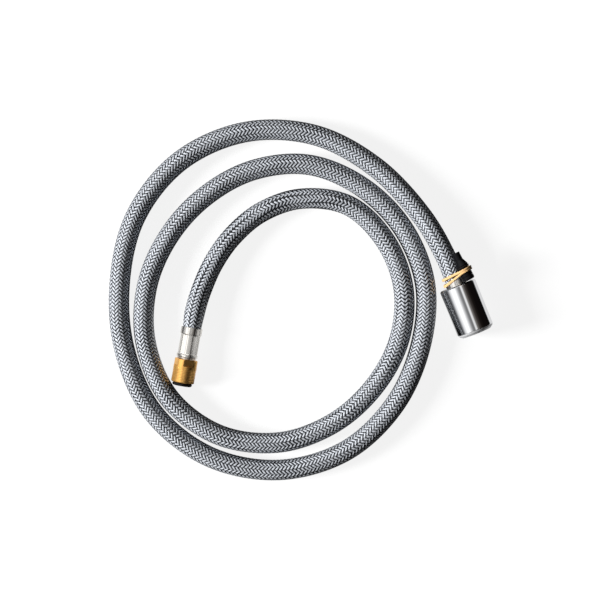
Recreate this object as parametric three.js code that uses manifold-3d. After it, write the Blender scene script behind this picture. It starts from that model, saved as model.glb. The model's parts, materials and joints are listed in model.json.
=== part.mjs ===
// Braided pull-out spray hose, about 1.5 m, lying in a loose flat spiral of two and a half turns.
// One end carries a chrome G1/2 sleeve nut, the other a crimped ferrule and an M15x1 swivel.
// A spare check-valve cartridge is tied to the hose beside the nut with a rubber band.
// Millimetres. +Z is up, z = 0 is the surface that the hose lies on, and the origin is the
// middle of the outline seen from above.

import * as THREE from "three";
import { mergeVertices } from "three/addons/utils/BufferGeometryUtils.js";
import Module from "manifold-3d";

const wasm = await Module();
wasm.setup();

// ---------------------------------------------------------------- driving dimensions

const RUNNING_GAP = 0.3; // kept between pieces that touch
const FINE_CHAMFER = 0.3;
const CHAMFER = 0.5;
const THREAD_LEAD = 0.7; // plain length between a thread and the end of its piece

// Hose. The radii of its layers where it runs free, and where each fitting squeezes it.
const HOSE_FREE = { bore: 4.0, liner: 5.7, braidInside: 6.0, braid: 6.7 };
const HOSE_IN_OUTLET = { bore: 4.0, liner: 5.35, braidInside: 5.65, braid: 6.3 };
const HOSE_IN_COLLAR = { bore: 3.8, liner: 5.1, braidInside: 5.4, braid: 6.05 };
const HOSE_IN_CRIMP = { bore: 3.5, liner: 4.35, braidInside: 4.65, braid: 5.2 };
const BRAID_SIDES = 12;
const LINER_SIDES = 8;
const FLAT_DEPTH = 2 * HOSE_FREE.braid / 10; // the lying hose is cut flat by this much
const REST_HEIGHT = HOSE_FREE.braid - FLAT_DEPTH; // of the lying hose's centreline

// Spiral of the hose seen from above: the distance from its centre to the centreline at
// equal steps of angle, anticlockwise from the +X side, from the nut inwards.
const SPIRAL_CENTRE = new THREE.Vector2(-13.1, -0.05);
const SPIRAL_START = 30;
const SPIRAL_STEP = 24;
const SPIRAL_RADII = [
  106.0, 105.3, 108.6, 110.6, 110.4, 107.6, 104.0, 105.3, 109.5, 110.9, 109.6, 106.0, 100.0,
  95.3, 94.1, 91.8, 90.0, 89.1, 85.5, 82.5, 82.7, 86.2, 91.0, 95.4, 95.5, 91.8, 86.4, 82.4,
  81.0, 79.9, 77.8, 75.2, 66.8, 57.9, 51.4, 49.1, 51.3,
];
const OUTLET_LIFTS = [0.72, 0.26, 0.05]; // how far the first points are still raised
const INLET_LIFTS = [0.15, 0.6]; // and the last ones
const RINGS_PER_STEP = 2;
const NEIGHBOUR_REACH = 40; // turns are compared from this far apart along the hose
const GAP_SAMPLES = 1200;

// Outlet fitting: the nut lies on its side, with its hose-side rim at OUTLET_ORIGIN.
const OUTLET_HEADING = THREE.MathUtils.degToRad(-68);
const NUT = {
  radius: 12,
  length: 33,
  bore: 7.6,
  boreDepth: 17.2,
  rimFillet: 1.8,
  lipDepth: 3.0,
  lipRadius: 10.7,
  mouthRadius: 9.8,
  threadCrest: 9.3,
  threadRoot: 10.45,
  threadPitch: 1.814,
  threadTurns: 6,
  sides: 40,
};
const OUTLET_ORIGIN = new THREE.Vector3(100.6, 9.45, NUT.radius);
const OUTLET_FERRULE = { radius: 7.25, bore: 6.6, start: -3.5, end: 16.2, lip: 0.6, neck: 4.6 };
const FERRULE_SIDES = 32;
const OUTLET_TAIL = { radius: 3.6, root: 3.25, bore: 2.6, start: -1.5, barbs: 5, barbPitch: 3.0 };
const OUTLET_HEAD = { neck: 4.2, flange: 8.9, flangeStart: 18.8, flangeEnd: 20.8 };
const SLIP_RING = { inside: 4.6, outside: 8.9, start: 17.5, thickness: 1.0 };
const WASHER = { inside: 5.0, outside: 8.9, thickness: 2.2 };
const TAIL_SIDES = 24;
const BARB_RISE = 0.8; // share of each barb's pitch that slopes
const OUTLET_HOSE_END = 15.0;
const OUTLET_STRAIGHT = [OUTLET_HOSE_END, -2.0, -19.0]; // of the route, on the fitting's axis
const OUTLET_SQUEEZE = { squeezedUntil: -2.9, freeFrom: -4.4, straightUntil: -12.0 };

// Inlet fitting: the hose-side edge of the crimped ferrule is at INLET_ORIGIN.
const INLET_HEADING = THREE.MathUtils.degToRad(-100);
const CONNECTOR = {
  radius: 7.5,
  start: 20.6,
  end: 35.8,
  bore: 5.0,
  flatsEnd: 25.1,
  flatDistance: 6.5,
  flatTurn: 66,
  threadRoot: 6.95,
  threadPitch: 1.0,
  threadTurns: 8,
  pocket: 6.45,
  pocketFloor: 32.5,
  sides: 36,
};
const INLET_ORIGIN = new THREE.Vector3(-69.8, -17.9, CONNECTOR.radius);
const CRIMP = {
  collarRadius: 6.85,
  collarBore: 6.35,
  collarLength: 4.4,
  flatDistance: 6.15,
  bore: 5.5,
  boreStart: 6.2,
  flatsEnd: 17.2,
  jawSlope: 1.2,
  endSlope: 0.8,
  end: 19.2,
  wall: 0.6,
  neck: 3.9,
  cornerTurn: 64,
  sides: 48,
};
const INLET_TAIL = { radius: 3.1, root: 2.75, bore: 2.1, start: 0.8, barbs: 5, barbPitch: 3.2 };
const INLET_NECK = { neck: 3.55, shoulder: 5.4, shoulderStart: 19.5, shoulderEnd: 20.3 };
const SPIGOT = { radius: 4.7, groove: 4.1, grooveStart: 33.5, grooveEnd: 34.9, nose: 4.0, end: 37.6 };
const SPIGOT_WASHER = { inside: 5.0, outside: 5.9, start: 32.8, thickness: 0.6 };
const SNAP_RING = { inside: 4.4, outside: 5.7, start: 33.7, thickness: 0.8 };
const NOSE_RING = { middle: 5.35, section: 1.0, centre: 36.9 };
const RING_SIDES = 28;
const INLET_HOSE_END = 18.1;
const INLET_STRAIGHT = [-10.0, 0.0, INLET_HOSE_END]; // of the route, on the fitting's axis
const INLET_SQUEEZE = { freeUntil: -4.0, collarFrom: -0.4, collarUntil: 3.9, crimpFrom: 6.6 };

// Check-valve cartridge, measured from its neck end. It lies beside the hose, and its ends
// are given in the outlet fitting's own axes: sideways, upwards and along.
const VALVE_NECK_END = new THREE.Vector3(5.4, 9.3, -19.6);
const VALVE_CAP_END = new THREE.Vector3(7.15, 9.3, -0.6);
const VALVE = {
  neckRadius: 2.6,
  neckLength: 5.1,
  radius: 4.1,
  shoulderEnd: 8.8,
  bodyEnd: 16.3,
  length: 19.1,
  neckBore: 1.6,
  chamber: 3.2,
  chamberFloor: 8.4,
  grooveStart: 9.3,
  grooveEnd: 10.6,
  grooveRadius: 3.65,
  sides: 24,
};
const VALVE_CAP = { spigot: 2.9, spigotStart: 14.5, hole: 1.8, rounding: 1.4 };
const POPPET = { stem: 1.2, stemStart: 2.6, disc: 2.5, discStart: 12.2, discEnd: 13.15, nose: 1.0 };
const POPPET_SEAL = { inside: 1.3, outside: 2.5, start: 13.45, thickness: 0.7 };
const POPPET_SIDES = 20;
const SPRING = { radius: 2.1, wire: 0.18, start: 8.9, end: 11.7, turns: 3.25, steps: 12, sides: 6 };
const VALVE_RING = { middle: 4.12, section: 0.24, centre: 9.95, halfHeight: 0.42 };

// Rubber band: one closed loop that goes round hose and valve twice. Each turn has its place
// along the outlet's axis at the hose's far side and at the valve's. Over the top the turns
// come to lie side by side, and underneath they cross.
const BAND = {
  wire: 0.55,
  hoseSide: -8.0,
  valveSide: 12.0,
  besideFrom: 4.8,
  onHose: { first: -1.9, second: -6.1 },
  onValve: { first: -8.5, second: -7.1 },
  lift: 1.6,
  liftReach: 9.0,
  steps: 36,
  sides: 6,
};

// ---------------------------------------------------------------- helpers

const UP = new THREE.Vector3(0, 0, 1);
const CUT_REACH = 1; // how far a cutter passes the piece that it cuts

function metal(color, roughness) {
  return new THREE.MeshStandardMaterial({ color, roughness, metalness: 1 });
}

function plain(color, roughness) {
  return new THREE.MeshStandardMaterial({ color, roughness, metalness: 0 });
}

function named(name, geometry, material) {
  const mesh = new THREE.Mesh(geometry, material);
  mesh.name = name;
  return mesh;
}

// Axes of a fitting: +Z along its heading, +Y straight up and +X across.
function fittingGroup(origin, heading) {
  const along = new THREE.Vector3(Math.cos(heading), Math.sin(heading), 0);
  const across = new THREE.Vector3().crossVectors(UP, along);
  const group = new THREE.Group();
  group.quaternion.setFromRotationMatrix(new THREE.Matrix4().makeBasis(across, UP, along));
  group.position.copy(origin);
  group.updateMatrixWorld(true);
  return group;
}

// A solid of revolution about Z. The profile holds [radius, along] pairs.
function turned(profile, sides) {
  const points = profile.map(([radius, along]) => new THREE.Vector2(radius, along));
  return new THREE.LatheGeometry(points, sides).rotateX(Math.PI / 2);
}

// The same with a hole: the profile goes up outside and down inside, and is closed here.
function turnedRing(profile, sides) {
  return turned([...profile, profile[0]], sides);
}

function flatRing({ inside, outside, start, thickness }, sides) {
  const end = start + thickness;
  return turnedRing([[inside, start], [outside, start], [outside, end], [inside, end]], sides);
}

// Points of a quarter of an ellipse, from [r0, z0] to [r1, z1], bulging outwards.
function quarter(r0, z0, r1, z1, steps, startsSideways) {
  const points = [];
  for (let i = 0; i <= steps; i += 1) {
    const turn = (Math.PI / 2) * (i / steps);
    const first = startsSideways ? Math.sin(turn) : 1 - Math.cos(turn);
    const second = startsSideways ? 1 - Math.cos(turn) : Math.sin(turn);
    points.push([r0 + (r1 - r0) * first, z0 + (z1 - z0) * second]);
  }
  return points;
}

// Saw-toothed outside of a hose tail. Each barb is steep towards its root at the fitting.
function barbProfile({ radius, root, start, barbs, barbPitch }) {
  const points = [];
  for (let i = 0; i < barbs; i += 1) {
    const at = start + i * barbPitch;
    points.push([root, at]);
    points.push([radius, at + barbPitch * BARB_RISE]);
  }
  return points;
}

// Skin over rings of equal point counts, each anticlockwise about the way of travel.
// A closed loft joins the last ring to the first, and an open one has flat ends.
function loft(rings, isClosed) {
  const sides = rings[0].length;
  const positions = rings.flat().flatMap((point) => [point.x, point.y, point.z]);
  const index = [];
  const ringCount = rings.length;
  const spans = isClosed ? ringCount : ringCount - 1;
  for (let i = 0; i < spans; i += 1) {
    const here = i * sides;
    const next = ((i + 1) % ringCount) * sides;
    for (let j = 0; j < sides; j += 1) {
      const k = (j + 1) % sides;
      index.push(here + j, here + k, next + k);
      index.push(here + j, next + k, next + j);
    }
  }
  if (!isClosed) {
    const last = (ringCount - 1) * sides;
    for (let j = 1; j < sides - 1; j += 1) {
      index.push(0, j + 1, j);
      index.push(last, last + j, last + j + 1);
    }
  }
  const geometry = new THREE.BufferGeometry();
  geometry.setAttribute("position", new THREE.Float32BufferAttribute(positions, 3));
  geometry.setIndex(index);
  geometry.computeVertexNormals();
  return geometry;
}

function toSolid(geometry) {
  const bare = geometry.clone();
  bare.deleteAttribute("normal");
  bare.deleteAttribute("uv");
  const merged = mergeVertices(bare, 1e-4);
  const corners = merged.index.array;
  const kept = [];
  for (let i = 0; i < corners.length; i += 3) {
    const [a, b, c] = [corners[i], corners[i + 1], corners[i + 2]];
    if (a !== b && b !== c && c !== a) kept.push(a, b, c);
  }
  return new wasm.Manifold(new wasm.Mesh({
    numProp: 3,
    vertProperties: new Float32Array(merged.attributes.position.array),
    triVerts: new Uint32Array(kept),
  }));
}

function toGeometry(solid) {
  const { vertProperties, triVerts } = solid.getMesh();
  const geometry = new THREE.BufferGeometry();
  geometry.setAttribute("position", new THREE.BufferAttribute(vertProperties, 3));
  geometry.setIndex(new THREE.BufferAttribute(triVerts, 1));
  geometry.computeVertexNormals();
  return geometry;
}

// ---------------------------------------------------------------- route of the hose

const outlet = fittingGroup(OUTLET_ORIGIN, OUTLET_HEADING);
const inlet = fittingGroup(INLET_ORIGIN, INLET_HEADING);

function onAxis(group, along) {
  return new THREE.Vector3(0, 0, along).applyMatrix4(group.matrixWorld);
}

function spiralPoint(radius, index) {
  const angle = THREE.MathUtils.degToRad(SPIRAL_START + index * SPIRAL_STEP);
  const inletIndex = index - (SPIRAL_RADII.length - INLET_LIFTS.length);
  const outletRise = (OUTLET_LIFTS[index] ?? 0) * (NUT.radius - REST_HEIGHT);
  const inletRise = (INLET_LIFTS[inletIndex] ?? 0) * (CONNECTOR.radius - REST_HEIGHT);
  return new THREE.Vector3(
    SPIRAL_CENTRE.x + radius * Math.cos(angle),
    SPIRAL_CENTRE.y + radius * Math.sin(angle),
    REST_HEIGHT + outletRise + inletRise,
  );
}

const route = new THREE.CatmullRomCurve3([
  ...OUTLET_STRAIGHT.map((along) => onAxis(outlet, along)),
  ...SPIRAL_RADII.map(spiralPoint),
  ...INLET_STRAIGHT.map((along) => onAxis(inlet, along)),
]);

// One station for each ring of the hose: where it is, where it heads and how it is squeezed.
function straightStation(group, along, layers) {
  const heading = new THREE.Vector3(0, 0, 1).transformDirection(group.matrixWorld);
  return { centre: onAxis(group, along), heading, layers };
}

function freeStations() {
  const spans = route.points.length - 1;
  const first = (OUTLET_STRAIGHT.length - 1) * RINGS_PER_STEP;
  const last = (spans - INLET_STRAIGHT.length + 1) * RINGS_PER_STEP;
  const stations = [];
  for (let i = first; i <= last; i += 1) {
    const t = i / (spans * RINGS_PER_STEP);
    stations.push({ centre: route.getPoint(t), heading: route.getTangent(t), layers: HOSE_FREE });
  }
  return stations;
}

const outletStations = [
  straightStation(outlet, OUTLET_HOSE_END, HOSE_IN_OUTLET),
  straightStation(outlet, OUTLET_SQUEEZE.squeezedUntil, HOSE_IN_OUTLET),
  straightStation(outlet, OUTLET_SQUEEZE.freeFrom, HOSE_FREE),
  straightStation(outlet, OUTLET_SQUEEZE.straightUntil, HOSE_FREE),
];
// The hose runs from the nut inwards, so here it heads against the outlet's axis.
for (const station of outletStations) station.heading.negate();

const inletStations = [
  straightStation(inlet, INLET_SQUEEZE.freeUntil, HOSE_FREE),
  straightStation(inlet, INLET_SQUEEZE.collarFrom, HOSE_IN_COLLAR),
  straightStation(inlet, INLET_SQUEEZE.collarUntil, HOSE_IN_COLLAR),
  straightStation(inlet, INLET_SQUEEZE.crimpFrom, HOSE_IN_CRIMP),
  straightStation(inlet, INLET_HOSE_END, HOSE_IN_CRIMP),
];
const stations = [...outletStations, ...freeStations(), ...inletStations];

// A many-sided section with one side flat on the floor where the hose lies on it.
function sectionRing({ centre, heading }, radius, sides) {
  const across = new THREE.Vector3().crossVectors(UP, heading).normalize();
  const upwards = new THREE.Vector3().crossVectors(heading, across);
  const cut = Math.acos(Math.min(1, centre.z / HOSE_FREE.braid));
  const half = Math.max(Math.PI / sides, cut);
  const step = (2 * Math.PI - 2 * half) / (sides - 1);
  const ring = [];
  for (let i = 0; i < sides; i += 1) {
    const angle = -Math.PI / 2 + half + i * step;
    const point = centre.clone();
    point.addScaledVector(across, radius * Math.cos(angle));
    point.addScaledVector(upwards, radius * Math.sin(angle));
    ring.push(point);
  }
  return ring;
}

function hoseLayer(outside, inside, sides) {
  const outer = stations.map((station) => sectionRing(station, station.layers[outside], sides));
  const inner = stations.map((station) => sectionRing(station, station.layers[inside], sides));
  return loft([...outer, ...inner.reverse()], true);
}

// Least gap between one turn and the next, on points of the centreline.
function leastGap() {
  const points = route.getSpacedPoints(GAP_SAMPLES);
  const spacing = route.getLength() / GAP_SAMPLES;
  const farEnough = Math.ceil(NEIGHBOUR_REACH / spacing);
  let least = Infinity;
  for (let i = 0; i < points.length; i += 1) {
    for (let j = i + farEnough; j < points.length; j += 1) {
      least = Math.min(least, points[i].distanceTo(points[j]));
    }
  }
  return least - 2 * HOSE_FREE.braid;
}

// ---------------------------------------------------------------- outlet fitting

function nutGeometry() {
  const { radius, length, bore, boreDepth, rimFillet, lipDepth, lipRadius } = NUT;
  const { mouthRadius, threadCrest, threadRoot, threadPitch, threadTurns, sides } = NUT;
  const profile = [[bore, 0], ...quarter(radius - rimFillet, 0, radius, rimFillet, 4, true)];
  profile.push(...quarter(radius, length - lipDepth, lipRadius, length, 5, false));
  profile.push([mouthRadius, length], [threadCrest, length - THREAD_LEAD]);
  const threadEnd = length - THREAD_LEAD - CHAMFER;
  for (let turn = 0; turn < threadTurns; turn += 1) {
    const at = threadEnd - turn * threadPitch;
    profile.push([threadRoot, at - threadPitch / 2], [threadCrest, at - threadPitch]);
  }
  profile.push([threadCrest, boreDepth], [bore, boreDepth]);
  return turnedRing(profile, sides);
}

function outletFerruleGeometry() {
  const { radius, bore, start, end, lip, neck } = OUTLET_FERRULE;
  return turnedRing([
    [bore, start], [radius - FINE_CHAMFER, start], [radius, start + FINE_CHAMFER],
    [radius, end - CHAMFER], [radius - CHAMFER, end], [neck, end], [neck, end - lip],
    [bore, end - lip],
  ], FERRULE_SIDES);
}

function outletInsertGeometry() {
  const { bore } = OUTLET_TAIL;
  const { neck, flange, flangeStart, flangeEnd } = OUTLET_HEAD;
  const neckStart = OUTLET_HOSE_END + RUNNING_GAP;
  return turnedRing([
    [bore, OUTLET_TAIL.start], ...barbProfile(OUTLET_TAIL), [OUTLET_TAIL.root, neckStart],
    [neck, neckStart], [neck, flangeStart], [flange, flangeStart], [flange, flangeEnd],
    [bore + CHAMFER, flangeEnd], [bore, flangeEnd - CHAMFER],
  ], TAIL_SIDES);
}

const washerPlace = { ...WASHER, start: OUTLET_HEAD.flangeEnd + RUNNING_GAP };
outlet.add(
  named("outlet_nut", nutGeometry(), metal(0xe6e7ea, 0.06)),
  named("outlet_ferrule", outletFerruleGeometry(), metal(0xc9c6c0, 0.22)),
  named("outlet_insert", outletInsertGeometry(), metal(0xd9a441, 0.28)),
  named("outlet_slip_ring", flatRing(SLIP_RING, FERRULE_SIDES), plain(0xf0efe9, 0.4)),
  named("outlet_washer", flatRing(washerPlace, FERRULE_SIDES), plain(0x1c1c1e, 0.8)),
);

// ---------------------------------------------------------------- inlet fitting

// Distance from the axis to the corners of a many-sided bar whose flats are at `flat`.
function cornerOf(flat, sides) {
  return flat / Math.cos(Math.PI / sides);
}

// A lathe solid with few sides starts with a corner straight down, so it turns from there.
function barWithCornerAt(profile, sides, degrees) {
  return toSolid(turned(profile, sides).rotateZ(THREE.MathUtils.degToRad(degrees + 90)));
}

function inletFerruleGeometry() {
  const { collarRadius, collarBore, collarLength, flatDistance, bore, boreStart } = CRIMP;
  const { flatsEnd, jawSlope, endSlope, end, wall, neck, cornerTurn, sides } = CRIMP;
  const blank = toSolid(turned([
    [0, 0], [collarRadius - FINE_CHAMFER, 0], [collarRadius, FINE_CHAMFER],
    [collarRadius, end - CHAMFER], [collarRadius - CHAMFER, end], [0, end],
  ], sides));
  const squeezed = cornerOf(flatDistance, 6);
  const clear = cornerOf(collarRadius + CUT_REACH, 6);
  const jaws = barWithCornerAt([
    [0, -CUT_REACH], [clear, -CUT_REACH], [clear, collarLength],
    [squeezed, collarLength + jawSlope], [squeezed, flatsEnd], [clear, flatsEnd + endSlope],
    [clear, end + CUT_REACH], [0, end + CUT_REACH],
  ], 6, cornerTurn);
  const inside = toSolid(turned([
    [0, -CUT_REACH], [collarBore, -CUT_REACH], [collarBore, collarLength], [bore, boreStart],
    [bore, end - wall], [neck, end - wall], [neck, end + CUT_REACH], [0, end + CUT_REACH],
  ], FERRULE_SIDES));
  return toGeometry(blank.intersect(jaws).subtract(inside));
}

function connectorGeometry() {
  const { radius, start, end, bore, flatsEnd, flatDistance, flatTurn } = CONNECTOR;
  const { threadRoot, threadPitch, threadTurns, pocket, pocketFloor, sides } = CONNECTOR;
  const profile = [[0, start], [radius - CHAMFER, start], [radius, start + CHAMFER]];
  const threadStart = end - THREAD_LEAD - threadTurns * threadPitch;
  profile.push([radius, threadStart - CHAMFER]);
  for (let turn = 0; turn < threadTurns; turn += 1) {
    const at = threadStart + turn * threadPitch;
    profile.push([threadRoot, at], [radius, at + threadPitch / 2]);
  }
  profile.push([threadRoot, end - CHAMFER], [threadRoot, end], [0, end]);
  const blank = toSolid(turned(profile, sides));
  const square = cornerOf(flatDistance, 4);
  const clear = cornerOf(radius + CUT_REACH, 4);
  const [before, beyond] = [start - CUT_REACH, end + CUT_REACH];
  const flats = barWithCornerAt([
    [0, before], [square, before], [square, flatsEnd], [clear, flatsEnd],
    [clear, beyond], [0, beyond],
  ], 4, flatTurn + 45);
  const inside = toSolid(turned([
    [0, before], [bore, before], [bore, pocketFloor], [pocket, pocketFloor],
    [pocket, beyond], [0, beyond],
  ], sides));
  return toGeometry(blank.intersect(flats).subtract(inside));
}

function inletInsertGeometry() {
  const { bore } = INLET_TAIL;
  const { neck, shoulder, shoulderStart, shoulderEnd } = INLET_NECK;
  const { radius, groove, grooveStart, grooveEnd, nose, end } = SPIGOT;
  const neckStart = INLET_HOSE_END + RUNNING_GAP;
  return turnedRing([
    [bore, INLET_TAIL.start], ...barbProfile(INLET_TAIL), [INLET_TAIL.root, neckStart],
    [neck, neckStart], [neck, shoulderStart], [shoulder, shoulderStart], [shoulder, shoulderEnd],
    [radius, shoulderEnd], [radius, grooveStart], [groove, grooveStart], [groove, grooveEnd],
    [nose, grooveEnd], [nose, end - CHAMFER], [nose - CHAMFER, end], [bore, end],
  ], TAIL_SIDES);
}

// A round sealing ring, as a ring with an eight-sided section.
function sealingRing({ middle, section, centre, halfHeight = section }) {
  const profile = [];
  for (let i = 0; i < 8; i += 1) {
    const angle = -Math.PI / 2 + Math.PI / 8 + (i * Math.PI) / 4;
    profile.push([middle + section * Math.cos(angle), centre + halfHeight * Math.sin(angle)]);
  }
  return turnedRing(profile, RING_SIDES);
}

inlet.add(
  named("inlet_ferrule", inletFerruleGeometry(), metal(0xcfccc6, 0.2)),
  named("inlet_insert", inletInsertGeometry(), metal(0xcf9a3c, 0.3)),
  named("inlet_connector", connectorGeometry(), metal(0xd8a03a, 0.24)),
  named("inlet_slip_washer", flatRing(SPIGOT_WASHER, RING_SIDES), plain(0xf0efe9, 0.4)),
  named("inlet_retaining_ring", flatRing(SNAP_RING, RING_SIDES), metal(0xb9bcc2, 0.3)),
  named("inlet_o_ring", sealingRing(NOSE_RING), plain(0x171717, 0.55)),
);

// ---------------------------------------------------------------- check valve

function valveGroup() {
  const along = new THREE.Vector3().subVectors(VALVE_CAP_END, VALVE_NECK_END).normalize();
  const across = new THREE.Vector3(0, 1, 0).cross(along);
  const group = new THREE.Group();
  const axes = new THREE.Matrix4().makeBasis(across, new THREE.Vector3(0, 1, 0), along);
  group.quaternion.setFromRotationMatrix(axes);
  group.position.copy(VALVE_NECK_END);
  return group;
}

function valveBodyGeometry() {
  const { neckRadius, neckLength, radius, shoulderEnd, bodyEnd, neckBore } = VALVE;
  const { chamber, chamberFloor, grooveStart, grooveEnd, grooveRadius, sides } = VALVE;
  return turnedRing([
    [neckBore, 0], [neckRadius - FINE_CHAMFER, 0], [neckRadius, FINE_CHAMFER],
    [neckRadius, neckLength], [radius, shoulderEnd], [radius, grooveStart],
    [grooveRadius, grooveStart], [grooveRadius, grooveEnd], [radius, grooveEnd],
    [radius, bodyEnd], [chamber, bodyEnd], [chamber, chamberFloor], [neckBore, chamberFloor],
  ], sides);
}

function valveCapGeometry() {
  const { spigot, spigotStart, hole, rounding } = VALVE_CAP;
  const { radius, length, bodyEnd, sides } = VALVE;
  const flangeStart = bodyEnd + RUNNING_GAP;
  return turnedRing([
    [hole, spigotStart], [spigot, spigotStart], [spigot, flangeStart], [radius, flangeStart],
    ...quarter(radius, length - rounding, radius - rounding, length, 4, false), [hole, length],
  ], sides);
}

function poppetGeometry() {
  const { stem, stemStart, disc, discStart, discEnd, nose } = POPPET;
  const noseEnd = POPPET_SEAL.start + POPPET_SEAL.thickness;
  return turned([
    [0, stemStart], [stem - FINE_CHAMFER, stemStart], [stem, stemStart + FINE_CHAMFER],
    [stem, discStart], [disc, discStart], [disc, discEnd], [nose, discEnd], [nose, noseEnd],
    [0, noseEnd],
  ], POPPET_SIDES);
}

function springGeometry() {
  const { radius, wire, start, end, turns, steps, sides } = SPRING;
  const count = Math.round(turns * steps);
  const rings = [];
  for (let i = 0; i <= count; i += 1) {
    const angle = (2 * Math.PI * i) / steps;
    const outwards = new THREE.Vector3(Math.cos(angle), Math.sin(angle), 0);
    const centre = outwards.clone().multiplyScalar(radius);
    centre.z = start + ((end - start) * i) / count;
    const ring = [];
    for (let j = 0; j < sides; j += 1) {
      const turn = (-2 * Math.PI * j) / sides;
      const point = centre.clone().addScaledVector(outwards, wire * Math.cos(turn));
      point.z += wire * Math.sin(turn);
      ring.push(point);
    }
    rings.push(ring);
  }
  return loft(rings, false);
}

const valve = valveGroup();
valve.add(
  named("valve_body", valveBodyGeometry(), plain(0x141518, 0.35)),
  named("valve_cap", valveCapGeometry(), plain(0x17181b, 0.35)),
  named("valve_poppet", poppetGeometry(), plain(0xe9e8e2, 0.4)),
  named("valve_poppet_seal", flatRing(POPPET_SEAL, POPPET_SIDES), plain(0x202022, 0.7)),
  named("valve_spring", springGeometry(), metal(0xc4c6ca, 0.25)),
  named("valve_o_ring", sealingRing(VALVE_RING), plain(0x101010, 0.6)),
);
outlet.add(valve);

// ---------------------------------------------------------------- rubber band

// Outline round the hose and the valve where the band crosses the valve, as a path that
// starts where the straight run from the hose meets the valve on top.
function bandOutline() {
  const along = (BAND.onValve.first + BAND.onValve.second) / 2;
  const share = (along - VALVE_NECK_END.z) / (VALVE_CAP_END.z - VALVE_NECK_END.z);
  const valveCentre = new THREE.Vector3().lerpVectors(VALVE_NECK_END, VALVE_CAP_END, share);
  const hoseRadius = HOSE_FREE.braid + RUNNING_GAP + BAND.wire;
  const valveRadius = VALVE.radius + RUNNING_GAP + BAND.wire;
  const lean = Math.atan2(valveCentre.y, valveCentre.x);
  const apart = Math.hypot(valveCentre.x, valveCentre.y);
  const spread = Math.acos((hoseRadius - valveRadius) / apart);
  const path = new THREE.Path();
  path.absarc(valveCentre.x, valveCentre.y, valveRadius, lean + spread, lean - spread, true);
  path.absarc(0, 0, hoseRadius, lean - spread, lean + spread - 2 * Math.PI, true);
  path.closePath();
  return path.getSpacedPoints(BAND.steps).slice(0, BAND.steps);
}

// A value that goes from one end to the other as the band crosses from the hose's far side.
function runValue(across, until, onHose, onOther) {
  const share = (across - BAND.hoseSide) / (until - BAND.hoseSide);
  return THREE.MathUtils.lerp(onHose, onOther, THREE.MathUtils.clamp(share, 0, 1));
}

// Places along the axis of the four runs between the hose's side and the valve's.
function bandRuns(across) {
  const { valveSide, besideFrom, onHose, onValve } = BAND;
  const far = runValue(across, valveSide, onHose.second, onValve.first);
  const hoseGap = onHose.first - onHose.second;
  const valveGap = onValve.second - onValve.first;
  return {
    over: [far, far + runValue(across, besideFrom, hoseGap, valveGap)],
    under: [
      runValue(across, valveSide, onHose.first, onValve.first),
      runValue(across, valveSide, onHose.second, onValve.second),
    ],
  };
}

// Middle of the band all the way round: the first turn starts on the valve, goes down and under
// the hose, and comes over the top to the start of the second.
function bandCentres() {
  const outline = bandOutline();
  const places = outline.map((_, i) => i);
  const across = outline.map((point) => point.x);
  const valveEnd = across.indexOf(Math.max(...across));
  const hoseEnd = across.indexOf(Math.min(...across));
  const underneath = places.slice(valveEnd + 1, hoseEnd);
  const apart = (i) => Math.abs(bandRuns(across[i]).under[0] - bandRuns(across[i]).under[1]);
  const crossing = underneath.reduce((best, i) => (apart(i) < apart(best) ? i : best));
  const spacing = outline[0].distanceTo(outline[1]);
  const overFerrule = OUTLET_FERRULE.radius + RUNNING_GAP + BAND.wire;
  const ferruleReach = OUTLET_FERRULE.start - RUNNING_GAP - BAND.wire;
  return [0, 1].flatMap((turn) => places.map((i) => {
    const before = outline[(i + BAND.steps - 1) % BAND.steps];
    const after = outline[(i + 1) % BAND.steps];
    const outwards = new THREE.Vector2(before.y - after.y, after.x - before.x).normalize();
    const runs = bandRuns(across[i]);
    const overTurn = i <= valveEnd ? turn : 1 - turn;
    const isUnder = i > valveEnd && i < hoseEnd;
    const along = isUnder ? runs.under[turn] : runs.over[overTurn];
    const fromCrossing = Math.min(Math.abs(i - crossing) * spacing / BAND.liftReach, 1);
    const rise = turn * BAND.lift * Math.cos((Math.PI / 2) * fromCrossing) ** 2;
    const spot = outline[i].clone().addScaledVector(outwards, rise);
    if (along > ferruleReach) spot.setLength(Math.max(spot.length(), overFerrule));
    return { point: new THREE.Vector3(spot.x, spot.y, along), outwards };
  }));
}

function bandGeometry() {
  const centres = bandCentres();
  const rings = centres.map(({ point, outwards }, i) => {
    const next = centres[(i + 1) % centres.length].point;
    const last = centres[(i + centres.length - 1) % centres.length].point;
    const heading = new THREE.Vector3().subVectors(next, last).normalize();
    const out = new THREE.Vector3(outwards.x, outwards.y, 0);
    const side = new THREE.Vector3().crossVectors(heading, out).normalize();
    out.crossVectors(side, heading);
    const ring = [];
    for (let j = 0; j < BAND.sides; j += 1) {
      const angle = (2 * Math.PI * j) / BAND.sides;
      const corner = point.clone().addScaledVector(out, BAND.wire * Math.cos(angle));
      ring.push(corner.addScaledVector(side, BAND.wire * Math.sin(angle)));
    }
    return ring;
  });
  return loft(rings, true);
}

outlet.add(named("rubber_band", bandGeometry(), plain(0xe0ac62, 0.45)));

// ---------------------------------------------------------------- the hose itself

const hose = new THREE.Group();
hose.add(
  named("hose_braid", hoseLayer("braid", "braidInside", BRAID_SIDES), plain(0x8f959c, 0.35)),
  named("hose_liner", hoseLayer("liner", "bore", LINER_SIDES), plain(0xe8e6e0, 0.5)),
);

console.log(`hose length ${route.getLength().toFixed(1)} mm`);
console.log(`least gap between turns ${leastGap().toFixed(2)} mm`);

const sprayHose = new THREE.Group();
sprayHose.name = "spray_hose";
sprayHose.add(hose, outlet, inlet);

export default sprayHose;
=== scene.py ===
"""A braided pull-out spray hose lying in a loose flat spiral, dressed for its portrait.

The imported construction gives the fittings' axes and the bodies. Lengths are in metres, apart from
the profiles of the fittings, the valve and the band, which are in mm.
"""

import json
import math

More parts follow.
